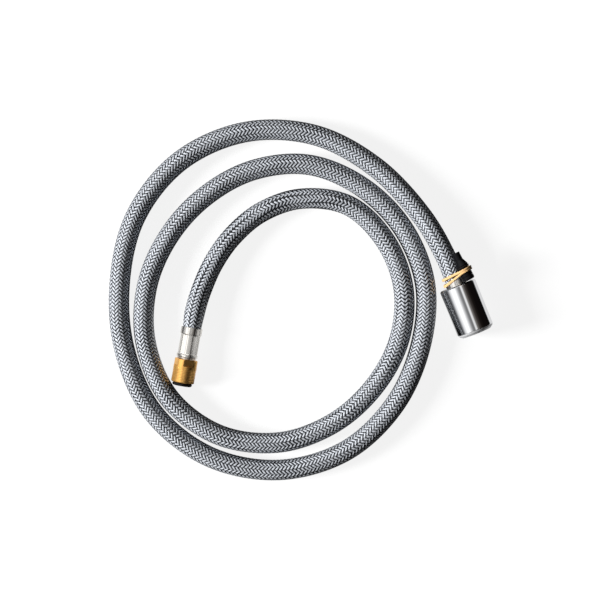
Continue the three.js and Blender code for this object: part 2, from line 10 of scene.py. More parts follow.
import bpy
import numpy as np
from mathutils import Matrix, Vector


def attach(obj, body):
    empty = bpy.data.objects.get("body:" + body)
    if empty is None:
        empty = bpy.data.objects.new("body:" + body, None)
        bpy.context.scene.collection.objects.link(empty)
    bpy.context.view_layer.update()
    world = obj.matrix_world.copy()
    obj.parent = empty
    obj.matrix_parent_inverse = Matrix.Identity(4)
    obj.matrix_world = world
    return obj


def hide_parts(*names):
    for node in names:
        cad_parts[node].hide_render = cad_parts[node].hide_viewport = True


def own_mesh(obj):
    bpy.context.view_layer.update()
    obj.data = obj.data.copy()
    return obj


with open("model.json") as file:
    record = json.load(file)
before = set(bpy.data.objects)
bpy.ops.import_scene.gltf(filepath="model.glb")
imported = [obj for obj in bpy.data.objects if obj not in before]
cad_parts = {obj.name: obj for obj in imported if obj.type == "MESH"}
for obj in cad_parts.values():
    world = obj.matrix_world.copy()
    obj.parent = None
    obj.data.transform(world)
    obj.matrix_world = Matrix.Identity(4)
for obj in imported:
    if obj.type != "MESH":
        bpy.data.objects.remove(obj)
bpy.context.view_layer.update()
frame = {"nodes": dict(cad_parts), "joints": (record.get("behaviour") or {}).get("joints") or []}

MM = 0.001
UP = Vector((0.0, 0.0, 1.0))

# ---------- the fittings' axes

JOINTS = {joint["name"]: joint for joint in frame["joints"]}


def fitting_axes(joint):
    """A matrix whose Z runs along the joint's axis, Y straight up and X across."""
    along = Vector(joint["axis"]).normalized()
    across = UP.cross(along)
    turn = Matrix((across, UP, along)).transposed().to_4x4()
    return Matrix.Translation(Vector(joint["pos_m"])) @ turn


OUTLET = fitting_axes(JOINTS["outlet_nut_spin"])
INLET = fitting_axes(JOINTS["inlet_swivel"])


def on_axis(axes, along):
    return axes @ Vector((0.0, 0.0, along))


# ---------- route of the hose

HOSE_RADIUS = 6.7 * MM
SPIRAL_CENTRE = Vector((-13.1, -0.05, 0.0)) * MM
SPIRAL_START = 30.0
SPIRAL_STEP = 24.0
SPIRAL_RADII = [
    0.1060, 0.1053, 0.1086, 0.1106, 0.1104, 0.1076, 0.1040, 0.1053, 0.1095, 0.1109, 0.1096,
    0.1060, 0.1000, 0.0953, 0.0941, 0.0918, 0.0900, 0.0891, 0.0855, 0.0825, 0.0827, 0.0862,
    0.0910, 0.0954, 0.0955, 0.0918, 0.0864, 0.0824, 0.0810, 0.0799, 0.0778, 0.0752, 0.0668,
    0.0579, 0.0514, 0.0491, 0.0513,
]
OUTLET_LIFTS = [0.72, 0.26, 0.05]
INLET_LIFTS = [0.15, 0.6]
OUTLET_STRAIGHT = [0.0150, -0.0020, -0.0190]
INLET_STRAIGHT = [-0.0100, 0.0, 0.0181]
ROUTE_STEPS = 36


def spiral_points():
    """The lying stretch. The braid is round here, so its middle is its radius above the floor."""
    nut_height, swivel_height = OUTLET.translation.z, INLET.translation.z
    points = []
    for i, radius in enumerate(SPIRAL_RADII):
        angle = math.radians(SPIRAL_START + i * SPIRAL_STEP)
        height = HOSE_RADIUS
        if i < len(OUTLET_LIFTS):
            height += OUTLET_LIFTS[i] * (nut_height - HOSE_RADIUS)
        from_end = i - (len(SPIRAL_RADII) - len(INLET_LIFTS))
        if from_end >= 0:
            height += INLET_LIFTS[from_end] * (swivel_height - HOSE_RADIUS)
        flat = Vector((math.cos(angle), math.sin(angle), 0.0)) * radius
        points.append(SPIRAL_CENTRE + flat + UP * height)
    return points


def smooth_route(points, steps):
    """A centripetal Catmull-Rom curve through the points."""
    points = [np.array(point) for point in points]
    points = [2 * points[0] - points[1], *points, 2 * points[-1] - points[-2]]
    route = []
    for p0, p1, p2, p3 in zip(points, points[1:], points[2:], points[3:]):
        d0, d1, d2 = (np.linalg.norm(b - a) ** 0.5 for a, b in ((p0, p1), (p1, p2), (p2, p3)))
        leave = ((p1 - p0) / d0 - (p2 - p0) / (d0 + d1) + (p2 - p1) / d1) * d1
        arrive = ((p2 - p1) / d1 - (p3 - p1) / (d1 + d2) + (p3 - p2) / d2) * d1
        for t in np.arange(steps) / steps:
            route.append(
                (2 * t**3 - 3 * t**2 + 1) * p1
                + (t**3 - 2 * t**2 + t) * leave
                + (-2 * t**3 + 3 * t**2) * p2
                + (t**3 - t**2) * arrive
            )
    route.append(points[-2])
    return np.array(route)


ROUTE = smooth_route(
    [on_axis(OUTLET, along) for along in OUTLET_STRAIGHT]
    + spiral_points()
    + [on_axis(INLET, along) for along in INLET_STRAIGHT],
    ROUTE_STEPS,
)
ROUTE_STEP_LENGTHS = np.linalg.norm(np.diff(ROUTE, axis=0), axis=1)
HOSE_LENGTH = float(ROUTE_STEP_LENGTHS.sum())

# ---------- camera

PHOTO_WIDTH = 600
MM_PER_PIXEL = 0.645
CAMERA_HEIGHT = 0.9
CAMERA_SPOT = Vector((-0.24, -0.07, 0.0)) * MM
SENSOR = 36.0


def make_camera():
    data = bpy.data.cameras.new("camera")
    data.sensor_fit = "HORIZONTAL"
    data.sensor_width = SENSOR
    seen_width = PHOTO_WIDTH * MM_PER_PIXEL * MM
    data.lens = SENSOR * (CAMERA_HEIGHT - HOSE_RADIUS) / seen_width
    camera = bpy.data.objects.new("camera", data)
    camera.location = CAMERA_SPOT + UP * CAMERA_HEIGHT
    bpy.context.scene.collection.objects.link(camera)
    bpy.context.scene.camera = camera


make_camera()

# ---------- node helpers


def feed(tree, socket, value):
    if isinstance(value, bpy.types.NodeSocket):
        tree.links.new(value, socket)
    else:
        socket.default_value = value


def put(tree, kind, inputs=(), **settings):
    """A new node with its settings, and its inputs given by order or by name."""
    node = tree.nodes.new(kind)
    for name, value in settings.items():
        setattr(node, name, value)
    pairs = inputs.items() if isinstance(inputs, dict) else enumerate(inputs)
    for key, value in pairs:
        feed(tree, node.inputs[key], value)
    return node


def calc(tree, operation, *values):
    return put(tree, "ShaderNodeMath", values, operation=operation).outputs[0]


def vector(tree, operation, *values):
    return put(tree, "ShaderNodeVectorMath", values, operation=operation).outputs[0]


def measured(tree, operation, *values):
    """A number got from vectors, such as a length."""
    return put(tree, "ShaderNodeVectorMath", values, operation=operation).outputs["Value"]


def scaled(tree, direction, amount):
    inputs = {0: direction, "Scale": amount}
    return put(tree, "ShaderNodeVectorMath", inputs, operation="SCALE").outputs[0]


def mapped(tree, value, low, high, start, end, curve="SMOOTHSTEP"):
    """The value taken from low and high to start and end, and held beyond them."""
    return put(
        tree,
        "ShaderNodeMapRange",
        {"Value": value, "From Min": low, "From Max": high, "To Min": start, "To Max": end},
        interpolation_type=curve,
    ).outputs[0]


def attribute(tree, name, output="Fac"):
    return put(tree, "ShaderNodeAttribute", attribute_name=name).outputs[output]


def object_place(tree):
    return put(tree, "ShaderNodeTexCoord").outputs["Object"]


def noise(tree, place, scale, **more):
    return put(tree, "ShaderNodeTexNoise", {"Vector": place, "Scale": scale, **more}).outputs[0]


def add_bump(tree, height, strength, distance):
    inputs = {"Strength": strength, "Distance": distance, "Height": height}
    return put(tree, "ShaderNodeBump", inputs).outputs[0]


def mixed_color(tree, share, first, second):
    inputs = {0: share, 6: first, 7: second}
    return put(tree, "ShaderNodeMix", inputs, data_type="RGBA").outputs[2]


def ramp(tree, value, stops):
    node = put(tree, "ShaderNodeValToRGB", [value])
    elements = node.color_ramp.elements
    while len(elements) < len(stops):
        elements.new(0.5)
    for element, (place, color) in zip(elements, stops):
        element.position = place
        element.color = (*color, 1.0)
    return node.outputs["Color"]


SOCKET_KINDS = {float: "Float", int: "Int", tuple: "Color", bpy.types.Material: "Material"}


def node_group(name, kind, inputs, outputs):
    """A node group with inputs like the values given, and outputs of the kinds named."""
    tree = bpy.data.node_groups.new(name, kind)
    if kind == "GeometryNodeTree":
        tree.interface.new_socket("Geometry", in_out="INPUT", socket_type="NodeSocketGeometry")
    for socket_name, value in inputs.items():
        socket_kind = "NodeSocket" + SOCKET_KINDS[type(value)]
        socket = tree.interface.new_socket(socket_name, in_out="INPUT", socket_type=socket_kind)
        socket.default_value = value
    for socket_name, word in outputs.items():
        socket_kind = "NodeSocket" + word
        tree.interface.new_socket(socket_name, in_out="OUTPUT", socket_type=socket_kind)
    given, result = tree.nodes.new("NodeGroupInput"), tree.nodes.new("NodeGroupOutput")
    return tree, given.outputs, result.inputs


# ---------- shared shader groups

# How strongly a bevelled edge counts as worn, and how far turning marks waver round a piece.
EDGE_GAIN, LINE_WAVER = 6.0, 0.35


def make_tone_group():
    """Slow and fine mottling of a colour, and a mask of the same for roughness."""
    inputs = {"Color": (0.5, 0.5, 0.5, 1.0), "Scale": 200.0, "Amount": 0.1}
    outputs = {"Color": "Color", "Mask": "Float"}
    tree, given, result = node_group("uneven_tone", "ShaderNodeTree", inputs, outputs)
    mottle = noise(tree, object_place(tree), given["Scale"], Detail=5.0, Roughness=0.6)
    swing = calc(tree, "MULTIPLY", calc(tree, "SUBTRACT", mottle, 0.5), given["Amount"])
    value = calc(tree, "MULTIPLY_ADD", swing, 2.0, 1.0)
    toned = put(tree, "ShaderNodeHueSaturation", {"Value": value, "Color": given["Color"]})
    feed(tree, result["Color"], toned.outputs[0])
    feed(tree, result["Mask"], mottle)
    return tree


def make_wear_group():
    """A mask that is high on the convex edges of a piece, broken up by noise."""
    inputs = {"Reach": 0.0004, "Scale": 900.0}
    tree, given, result = node_group("edge_wear", "ShaderNodeTree", inputs, {"Mask": "Float"})
    soft = put(tree, "ShaderNodeBevel", {"Radius": given["Reach"]}, samples=4).outputs[0]
    sharp = put(tree, "ShaderNodeNewGeometry").outputs["Normal"]
    edge = calc(tree, "SUBTRACT", 1.0, measured(tree, "DOT_PRODUCT", soft, sharp))
    patches = noise(tree, object_place(tree), given["Scale"], Detail=4.0)
    mask = calc(tree, "MULTIPLY", calc(tree, "MULTIPLY", edge, EDGE_GAIN), patches)
    feed(tree, result["Mask"], put(tree, "ShaderNodeClamp", [mask]).outputs[0])
    return tree


def make_lines_group():
    """Fine turning or drawing marks: grooves round a piece at even steps along its axis."""
    inputs = {"Pitch": 0.0002, "Strength": 0.3, "Depth": 0.00002}
    outputs = {"Normal": "Vector"}
    tree, given, result = node_group("turning_lines", "ShaderNodeTree", inputs, outputs)
    steps = calc(tree, "DIVIDE", attribute(tree, "along"), given["Pitch"])
    spot = put(tree, "ShaderNodeCombineXYZ", [steps, steps, steps]).outputs[0]
    waver = scaled(tree, attribute(tree, "around", "Vector"), LINE_WAVER)
    marks = noise(tree, vector(tree, "ADD", spot, waver), 1.0, Detail=3.0)
    feed(tree, result["Normal"], add_bump(tree, marks, given["Strength"], given["Depth"]))
    return tree


TONE = make_tone_group()
WEAR = make_wear_group()
LINES = make_lines_group()

# ---------- materials


def grouped(tree, group, **values):
    return put(tree, "ShaderNodeGroup", values, node_tree=group).outputs


def new_material(name, color, scale, amount, rough, **plain):
    """A Principled material whose colour and roughness are uneven together.

    Its plain values go straight on the shader's own sockets.
    """
    material = bpy.data.materials.new(name)
    material.use_nodes = True
    tree = material.node_tree
    sockets = tree.nodes["Principled BSDF"].inputs
    for key, value in plain.items():
        sockets[key.replace("_", " ")].default_value = value
    tone = grouped(tree, TONE, Color=(*color, 1.0), Scale=scale, Amount=amount)
    roughness = mapped(tree, tone["Mask"], 0.0, 1.0, *rough, curve="LINEAR")
    feed(tree, sockets["Base Color"], tone["Color"])
    feed(tree, sockets["Roughness"], roughness)
    return material, tree, sockets, tone["Color"], roughness


# Painted shade on each yarn: where it darkens towards its sides, as a share of its half width, and
# where it brightens up its wave out of the painted shade of a dive.
PAINTED_SIDE_SHADE, PAINTED_DIVE_SHADE = (0.42, 0.96), (-0.35, 0.65)
# How far the fine fibres level out the roundness of their yarn.
COMBED = 0.5
FIBRES_PER_YARN = 11.0
# The colour of the painted shade at a yarn's sides and where it dives.
PAINTED_YARN_SHADE = (0.010, 0.012, 0.016, 1.0)


def make_yarn_material():
    """Glossy grey yarn, bright along each float's crown, with painted shade at its sides and where
    it dives under the others.
    """
    material, tree, sockets, tone, _ = new_material(
        "braid_yarn", (0.64, 0.67, 0.72), 70.0, 0.10, (0.14, 0.24), Metallic=0.33, IOR=1.5
    )
    across = attribute(tree, "across")
    # Painted shade: the yarn's colour gives way to dark towards its sides and low on its wave.
    side_unshaded = mapped(tree, calc(tree, "ABSOLUTE", across), *PAINTED_SIDE_SHADE, 1.0, 0.0)
    dive_unshaded = mapped(tree, attribute(tree, "crown"), *PAINTED_DIVE_SHADE, 0.0, 1.0)
    unshaded_share = calc(tree, "MULTIPLY", side_unshaded, dive_unshaded)
    feed(tree, sockets["Base Color"], mixed_color(tree, unshaded_share, PAINTED_YARN_SHADE, tone))
    level = put(
        tree, "ShaderNodeVectorTransform", [attribute(tree, "outward", "Vector")],
        vector_type="NORMAL", convert_from="OBJECT", convert_to="WORLD",
    ).outputs[0]
    fibres = calc(tree, "SINE", calc(tree, "MULTIPLY", across, FIBRES_PER_YARN))
    rounded = add_bump(tree, fibres, 0.4, 0.00004)
    combed = vector(tree, "ADD", rounded, scaled(tree, level, COMBED))
    feed(tree, sockets["Normal"], vector(tree, "NORMALIZE", combed))
    return material


# Where along the nut the satin rim starts, how soft its edge is, and how it differs.
SATIN_FROM, SATIN_EDGE, SATIN_ROUGHER, SATIN_LESS_METAL = 0.0305, 0.0002, 0.45, -0.5


def make_chrome_material():
    """Bright plate, with a satin rim where the mouth's edge was turned after polishing."""
    material, tree, sockets, _, polish = new_material(
        "chrome_plate", (0.90, 0.905, 0.92), 140.0, 0.02, (0.01, 0.04), Metallic=1.0
    )
    wear = grouped(tree, WEAR, Reach=0.0003, Scale=1500.0)
    rubbed = calc(tree, "MULTIPLY_ADD", wear["Mask"], 0.12, polish)
    along = attribute(tree, "along")
    rim = mapped(tree, along, SATIN_FROM, SATIN_FROM + SATIN_EDGE, 0.0, 1.0, "LINEAR")
    feed(tree, sockets["Roughness"], calc(tree, "MULTIPLY_ADD", rim, SATIN_ROUGHER, rubbed))
    feed(tree, sockets["Metallic"], calc(tree, "MULTIPLY_ADD", rim, SATIN_LESS_METAL, 1.0))
    lines = grouped(tree, LINES, Pitch=0.00035, Strength=0.06, Depth=0.000003)
    feed(tree, sockets["Normal"], lines["Normal"])
    return material


def make_pressed_material(name):
    """Satin plate, worn at its edges, with long shallow streaks."""
    material, tree, sockets, _, satin = new_material(
        name, (0.90, 0.87, 0.82), 260.0, 0.05, (0.22, 0.32), Metallic=1.0
    )
    wear = grouped(tree, WEAR, Reach=0.0004, Scale=1200.0)
    feed(tree, sockets["Roughness"], calc(tree, "MULTIPLY_ADD", wear["Mask"], 0.10, satin))
    streaks = noise(tree, attribute(tree, "around", "Vector"), 7.0, Detail=2.0)
    feed(tree, sockets["Normal"], add_bump(tree, streaks, 0.5, 0.00035))
    return material


def make_brass_material():
    """Turned brass, paler where its edges are rubbed."""
    material, tree, sockets, tone, _ = new_material(
        "turned_brass", (0.97, 0.53, 0.145), 90.0, 0.05, (0.27, 0.35), Metallic=0.82, IOR=1.5
    )
    wear = grouped(tree, WEAR, Reach=0.0002, Scale=300.0)
    rubbed = calc(tree, "MULTIPLY", wear["Mask"], 0.5)
    color = mixed_color(tree, rubbed, tone, (0.99, 0.66, 0.27, 1.0))
    feed(tree, sockets["Base Color"], color)
    lines = grouped(tree, LINES, Pitch=0.0004, Strength=0.04, Depth=0.000005)
    feed(tree, sockets["Normal"], lines["Normal"])
    return material


def make_moulded_material(name, color, rough, scale, amount, gloss, pores):
    """Plastic or rubber. Its pores are given as a scale, a detail, a strength and a depth."""
    material, tree, sockets, _, _ = new_material(
        name, color, scale, amount, rough, IOR=1.5, Specular_IOR_Level=gloss
    )
    pore_scale, detail, strength, depth = pores
    grain = noise(tree, object_place(tree), pore_scale, Detail=detail)
    feed(tree, sockets["Normal"], add_bump(tree, grain, strength, depth))
    return material


YARN = make_yarn_material()
UNDERLAY = new_material(
    "braid_underlay", (0.022, 0.024, 0.028), 300.0, 0.3, (0.5, 0.75), IOR=1.5
)[0]
LINER = make_moulded_material(
    "liner_tube", (0.80, 0.79, 0.75), (0.35, 0.5), 300.0, 0.2, 0.5, (1800.0, 4.0, 0.3, 0.00001)
)
RUBBER = make_moulded_material(
    "seal_rubber", (0.007, 0.006, 0.006), (0.40, 0.60), 500.0, 0.2, 0.2,
    (3000.0, 4.0, 0.3, 0.00003),
)
ACETAL = make_moulded_material(
    "white_acetal", (0.82, 0.81, 0.77), (0.3, 0.42), 400.0, 0.2, 0.5, (2400.0, 4.0, 0.3, 0.00001)
)
BLACK = make_moulded_material(
    "black_moulding", (0.004, 0.004, 0.005), (0.30, 0.45), 450.0, 0.2, 0.15,
    (2700.0, 4.0, 0.3, 0.00001),
)
AMBER = make_moulded_material(
    "gum_rubber", (0.70, 0.44, 0.20), (0.32, 0.5), 500.0, 0.14, 0.35, (2500.0, 5.0, 0.4, 0.00006)
)
# The last word of a fitting piece's name, with its material and its slot in the record.
FINISHES = {
    "chrome": (make_chrome_material(), "chrome"),
    "nickel": (make_pressed_material("pressed_nickel"), "nickel"),
    "brass": (make_brass_material(), "brass"),
    "steel": (make_pressed_material("spring_steel"), "steel"),
    "acetal": (ACETAL, "acetal"),
    "rubber": (RUBBER, "rubber"),
    "black": (BLACK, "black_plastic"),
    "amber": (AMBER, "band"),
}

# ---------- mesh helpers

SHARP_ANGLE = math.radians(32)


def placed(name, data):
    """A new object in the scene."""
    thing = bpy.data.objects.new(name, data)
    bpy.context.scene.collection.objects.link(thing)
    return thing


def unit(rows):
    """The vectors in the rows, each made one long."""
    return rows / np.linalg.norm(rows, axis=1)[:, None]


def make_piece(name, points, faces, material, axes=None, attributes=None):
    """A mesh piece with its place in its vertices."""
    mesh = bpy.data.meshes.new(name)
    mesh.from_pydata([tuple(point) for point in points], [], faces)
    if axes is not None:
        mesh.transform(axes)
    for key, values in (attributes or {}).items():
        kind = "FLOAT_VECTOR" if np.ndim(values) == 2 else "FLOAT"
        layer = mesh.attributes.new(key, kind, "POINT")
        field = "vector" if kind == "FLOAT_VECTOR" else "value"
        layer.data.foreach_set(field, np.asarray(values, np.float32).ravel())
    mesh.materials.append(material)
    mesh.polygons.foreach_set("use_smooth", [True] * len(mesh.polygons))
    mesh.set_sharp_from_angle(angle=SHARP_ANGLE)
    mesh.update()
    return placed(name, mesh)


def settle(piece, body, slot, node):
    """The piece rides a body and stands for a CAD node."""
    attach(piece, body)
    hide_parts(node)
    return piece


def fitted(name, points, faces, axes, body, attributes=None):
    """A piece that is named for its CAD node and then its finish."""
    node, _, finish = name.rpartition("_")
    material, slot = FINISHES[finish]
    return settle(make_piece(name, points, faces, material, axes, attributes), body, slot, node)


def closed_grid(rows, columns, wrap_rows):
    """Quads over rows of points, each row closed on itself."""
    faces = []
    for i in range(rows if wrap_rows else rows - 1):
        for j in range(columns):
            k = (j + 1) % columns
            here, after = i * columns, ((i + 1) % rows) * columns
            faces.append((here + j, here + k, after + k, after + j))
    return faces


FILLET_STEPS = 4


def filleted(corners):
    """Profile points (radius, along) from corners (radius, along, fillet), the loop closed."""
    points = []
    count = len(corners)
    for i, corner in enumerate(corners):
        spot = np.array(corner[:2], float)
        fillet = corner[2] if len(corner) > 2 else 0.0
        if fillet <= 0:
            points.append(spot)
            continue
        before = np.array(corners[i - 1][:2], float) - spot
        after = np.array(corners[(i + 1) % count][:2], float) - spot
        before_length, after_length = np.linalg.norm(before), np.linalg.norm(after)
        before, after = before / before_length, after / after_length
        half = math.acos(max(-1.0, min(1.0, float(before @ after)))) / 2
        reach = min(fillet / math.tan(half), 0.49 * before_length, 0.49 * after_length)
        start, end = spot + before * reach, spot + after * reach
        for t in np.linspace(0, 1, FILLET_STEPS + 1):
            points.append((1 - t) ** 2 * start + 2 * t * (1 - t) * spot + t**2 * end)
    return points


def turned(name, corners, axes, body="hose", segments=96, shape=None):
    """A ring turned about the axes' Z: the profile goes up outside and down inside, in mm."""
    profile = filleted(corners)
    angles = np.linspace(0, 2 * math.pi, segments, endpoint=False)
    points, along, around = [], [], []
    for radius, height in profile:
        for angle in angles:
            r, z = shape(angle, radius, height) if shape else (radius, height)
            points.append((r * math.cos(angle) * MM, r * math.sin(angle) * MM, z * MM))
            along.append(height * MM)
            around.append((math.cos(angle), math.sin(angle), 0.0))
    faces = closed_grid(len(profile), segments, True)
    return fitted(name, points, faces, axes, body, {"along": along, "around": around})


def even_rows(radius, start, end, count):
    """Evenly spaced profile points for a stretch that a shape will change."""
    return [(radius, start + (end - start) * i / count) for i in range(count + 1)]


THREAD_ROWS_PER_PITCH = 12
# Shares of a thread's pitch, both sides taken together: the flat root and the flanks.
ROOT_SHARE, FLANK_SHARE = 0.12, 0.7


def thread_rows(start, end, pitch, radius):
    return even_rows(radius, start, end, round(abs(end - start) / pitch * THREAD_ROWS_PER_PITCH))


def thread_shape(low, high, pitch, crest, root, fade):
    """Radius of a screw thread between low and high along the axis, fading in and out."""

    def shape(angle, radius, height):
        if not low <= height <= high or abs(radius - crest) > 0.01:
            return radius, height
        phase = (height / pitch - angle / (2 * math.pi)) % 1.0
        past_root = max(0.0, abs(phase - 0.5) * 2.0 - ROOT_SHARE)
        valley = 1.0 - min(1.0, past_root / FLANK_SHARE)
        ends = min(1.0, (height - low) / fade, (high - height) / fade)
        return radius + (root - crest) * valley * max(0.0, ends), height

    return shape


# ---------- hose tubes

TUBE_SIDES = 32


def ring_frames(points):
    """Across and upward directions at each point of a route."""
    heading = unit(np.gradient(points, axis=0))
    across = unit(np.cross(np.array(UP), heading))
    return across, np.cross(heading, across)


def hose_tube(name, outside, inside, material, slot, node):
    """A tube along the whole route, its radii given as functions of the distance along it."""
    points = ROUTE[::2]
    across, upward = ring_frames(points)
    angles = np.linspace(0, 2 * math.pi, TUBE_SIDES, endpoint=False)
    ring = across[:, None] * np.cos(angles)[None, :, None]
    ring = ring + upward[:, None] * np.sin(angles)[None, :, None]
    travelled = np.concatenate([[0], np.cumsum(ROUTE_STEP_LENGTHS)])[::2]
    outer, inner = (
        points[:, None] + ring * np.array([radius(s) for s in travelled])[:, None, None]
        for radius in (outside, inside)
    )
    surface = np.concatenate([outer, inner[::-1]])
    faces = closed_grid(len(surface), TUBE_SIDES, True)
    piece = make_piece(name, surface.reshape(-1, 3), faces, material)
    return settle(piece, "hose", slot, node)


def smoothstep(value, low, high):
    t = min(1.0, max(0.0, (value - low) / (high - low)))
    return t * t * (3 - 2 * t)


# Distances along the hose to the ferrules' mouths, and from and to how far past them it narrows.
FERRULE_SHOWS = 0.0035
OUTLET_MOUTH = OUTLET_STRAIGHT[0] + FERRULE_SHOWS
INLET_MOUTH = HOSE_LENGTH - INLET_STRAIGHT[-1]
OUTLET_EASE = (-0.0015, 0.0030)
COLLAR_EASE = (-0.0100, 0.0005)
CRIMP_EASE = (0.0035, 0.0070)


def squeezed(free, in_outlet, in_collar, in_crimp):
    """Radius along the hose, from its radii in mm where it is free and in the ferrules."""

    def narrowed(s, mouth, ease):
        return smoothstep(s, mouth + ease[0], mouth + ease[1])

    def radius(s):
        value = in_outlet + (free - in_outlet) * narrowed(s, OUTLET_MOUTH, OUTLET_EASE)
        value -= (free - in_collar) * narrowed(s, INLET_MOUTH, COLLAR_EASE)
        value -= (in_collar - in_crimp) * narrowed(s, INLET_MOUTH, CRIMP_EASE)
        return value * MM

    return radius


core = hose_tube(
    "hose_underlay", squeezed(5.78, 5.5, 5.3, 5.15), squeezed(5.2, 5.2, 4.95, 4.6),
    UNDERLAY, "braid", "hose_braid",
)
liner = hose_tube(
    "inner_tube", squeezed(5.1, 5.1, 4.85, 4.45), squeezed(4.0, 4.0, 3.8, 3.5),
    LINER, "liner", "hose_liner",
)

# ---------- braid

CARRIERS = 32
BRAID_LEAD = 39.7 * MM
YARN_WIDTH = 1.55 * MM
YARN_THICKNESS = 0.37 * MM
WEAVE_DEPTH = 0.23 * MM
STEPS_PER_CROSSING = 2
BRAID_PIECES = 7
BRAID_START = OUTLET_MOUTH - 0.006
BRAID_END = INLET_MOUTH + 0.0036
# The tree's inputs. Each piece of the braid has its own From, To and Points.
BRAID = {
    "From": BRAID_START,
    "To": BRAID_END,
    "Points": 2,
    "Carriers": CARRIERS,
    "Lead": BRAID_LEAD,
    "Middle Radius": HOSE_RADIUS - WEAVE_DEPTH - YARN_THICKNESS / 2,
    "Weave Depth": WEAVE_DEPTH,
    "Yarn Width": YARN_WIDTH,
    "Yarn Thickness": YARN_THICKNESS,
    "Yarn Sides": 6,
    "Outlet Squeeze": 0.35 * MM,
    "Outlet Mouth": OUTLET_MOUTH,
    "Inlet Squeeze": 0.6 * MM,
    "Inlet Mouth": INLET_MOUTH,
    "Material": YARN,
}


def stored(tree, geometry, name, value, kind="FLOAT"):
    """The geometry with a value kept on its points under a name, for the materials."""
    inputs = {"Geometry": geometry, "Name": name, "Value": value}
    node = "GeometryNodeStoreNamedAttribute"
    return put(tree, node, inputs, data_type=kind, domain="POINT").outputs[0]


def yarn_section(tree, want):
    """An oval across the yarn, which knows how far to the side each of its points is."""
    round_section = {"Resolution": want["Yarn Sides"], "Radius": 1.0}
    circle = put(tree, "GeometryNodeCurvePrimitiveCircle", round_section).outputs[0]
    where = put(tree, "GeometryNodeInputPosition").outputs[0]
    sideways = put(tree, "ShaderNodeSeparateXYZ", [where]).outputs["Y"]
    half_width = calc(tree, "MULTIPLY", want["Yarn Width"], 0.5)
    half_height = calc(tree, "MULTIPLY", want["Yarn Thickness"], 0.5)
    size = put(tree, "ShaderNodeCombineXYZ", [half_height, half_width, 1.0]).outputs[0]
    marked = stored(tree, circle, "across", sideways)
    return put(tree, "GeometryNodeTransform", {"Geometry": marked, "Scale": size}).outputs[0]


def make_braid_tree():
    """Yarns in two directions round a route, each over two and under two of the others."""
    tree, want, result = node_group(
        "braided_yarns", "GeometryNodeTree", BRAID, {"Geometry": "Geometry"}
    )
    line = put(tree, "GeometryNodeCurvePrimitiveLine").outputs[0]
    dense = put(tree, "GeometryNodeResampleCurve", {"Curve": line, "Count": want["Points"]})
    one_each = {"Geometry": dense.outputs[0], "Amount": want["Carriers"]}
    copies = put(tree, "GeometryNodeDuplicateElements", one_each, domain="SPLINE")
    index = copies.outputs["Duplicate Index"]
    share = put(tree, "GeometryNodeSplineParameter").outputs["Factor"]
    span = calc(tree, "SUBTRACT", want["To"], want["From"])
    travelled = calc(tree, "MULTIPLY_ADD", share, span, want["From"])
    sought = {"Curves": want["Geometry"], "Length": travelled}
    place = put(tree, "GeometryNodeSampleCurve", sought, mode="LENGTH")
    heading = place.outputs["Tangent"]
    across = vector(tree, "NORMALIZE", vector(tree, "CROSS_PRODUCT", tuple(UP), heading))
    upward = vector(tree, "CROSS_PRODUCT", heading, across)

    side = calc(tree, "MULTIPLY_ADD", calc(tree, "MODULO", index, 2.0), 2.0, -1.0)
    number = calc(tree, "FLOOR", calc(tree, "DIVIDE", index, 2.0))
    turns = calc(tree, "MULTIPLY", side, calc(tree, "DIVIDE", travelled, want["Lead"]))
    offset = calc(tree, "DIVIDE", calc(tree, "MULTIPLY", number, 2.0), want["Carriers"])
    angle = calc(tree, "MULTIPLY", calc(tree, "ADD", turns, offset), 2 * math.pi)
    columns = calc(tree, "DIVIDE", want["Carriers"], 4.0)
    phase = calc(tree, "SUBTRACT", calc(tree, "MULTIPLY", angle, columns), math.pi / 4)
    wave = calc(tree, "MULTIPLY", calc(tree, "COSINE", phase), side)

    lift = calc(tree, "MULTIPLY", wave, want["Weave Depth"])
    radius = calc(tree, "ADD", want["Middle Radius"], lift)
    for fitting, ease, start, end in (
        ("Outlet", OUTLET_EASE, 1.0, 0.0),
        ("Inlet", COLLAR_EASE, 0.0, 1.0),
    ):
        low, high = (calc(tree, "ADD", want[fitting + " Mouth"], past) for past in ease)
        eased = mapped(tree, travelled, low, high, start, end)
        squeeze = calc(tree, "MULTIPLY", eased, want[fitting + " Squeeze"])
        radius = calc(tree, "SUBTRACT", radius, squeeze)
    outward_across = scaled(tree, across, calc(tree, "COSINE", angle))
    outward_upward = scaled(tree, upward, calc(tree, "SINE", angle))
    outward = vector(tree, "ADD", outward_across, outward_upward)
    spot = vector(tree, "ADD", place.outputs["Position"], scaled(tree, outward, radius))
    moved = {"Geometry": copies.outputs[0], "Position": spot}
    facing = {"Curve": put(tree, "GeometryNodeSetPosition", moved).outputs[0], "Normal": outward}
    laid = put(tree, "GeometryNodeSetCurveNormal", facing, mode="FREE")
    paths = stored(tree, laid.outputs[0], "along", travelled)
    # The wave, which the yarn material also uses for painted shade where the yarn dives.
    paths = stored(tree, paths, "crown", wave)
    paths = stored(tree, paths, "outward", outward, "FLOAT_VECTOR")

    swept = {"Curve": paths, "Profile Curve": yarn_section(tree, want), "Fill Caps": True}
    yarns = put(tree, "GeometryNodeCurveToMesh", swept)
    smooth = put(tree, "GeometryNodeSetShadeSmooth", {0: yarns.outputs[0]})
    real = put(tree, "GeometryNodeRealizeInstances", {0: smooth.outputs[0]})
    whole = {"Geometry": real.outputs[0], "Material": want["Material"]}
    feed(tree, result["Geometry"], put(tree, "GeometryNodeSetMaterial", whole).outputs[0])
    return tree


def route_curve():
    """The route as a plain curve, for the braid to follow."""
    data = bpy.data.curves.new("hose_route", "CURVE")
    data.dimensions = "3D"
    spline = data.splines.new("POLY")
    spline.points.add(len(ROUTE) - 1)
    corners = np.column_stack([ROUTE, np.ones(len(ROUTE))])
    spline.points.foreach_set("co", corners.ravel())
    return data


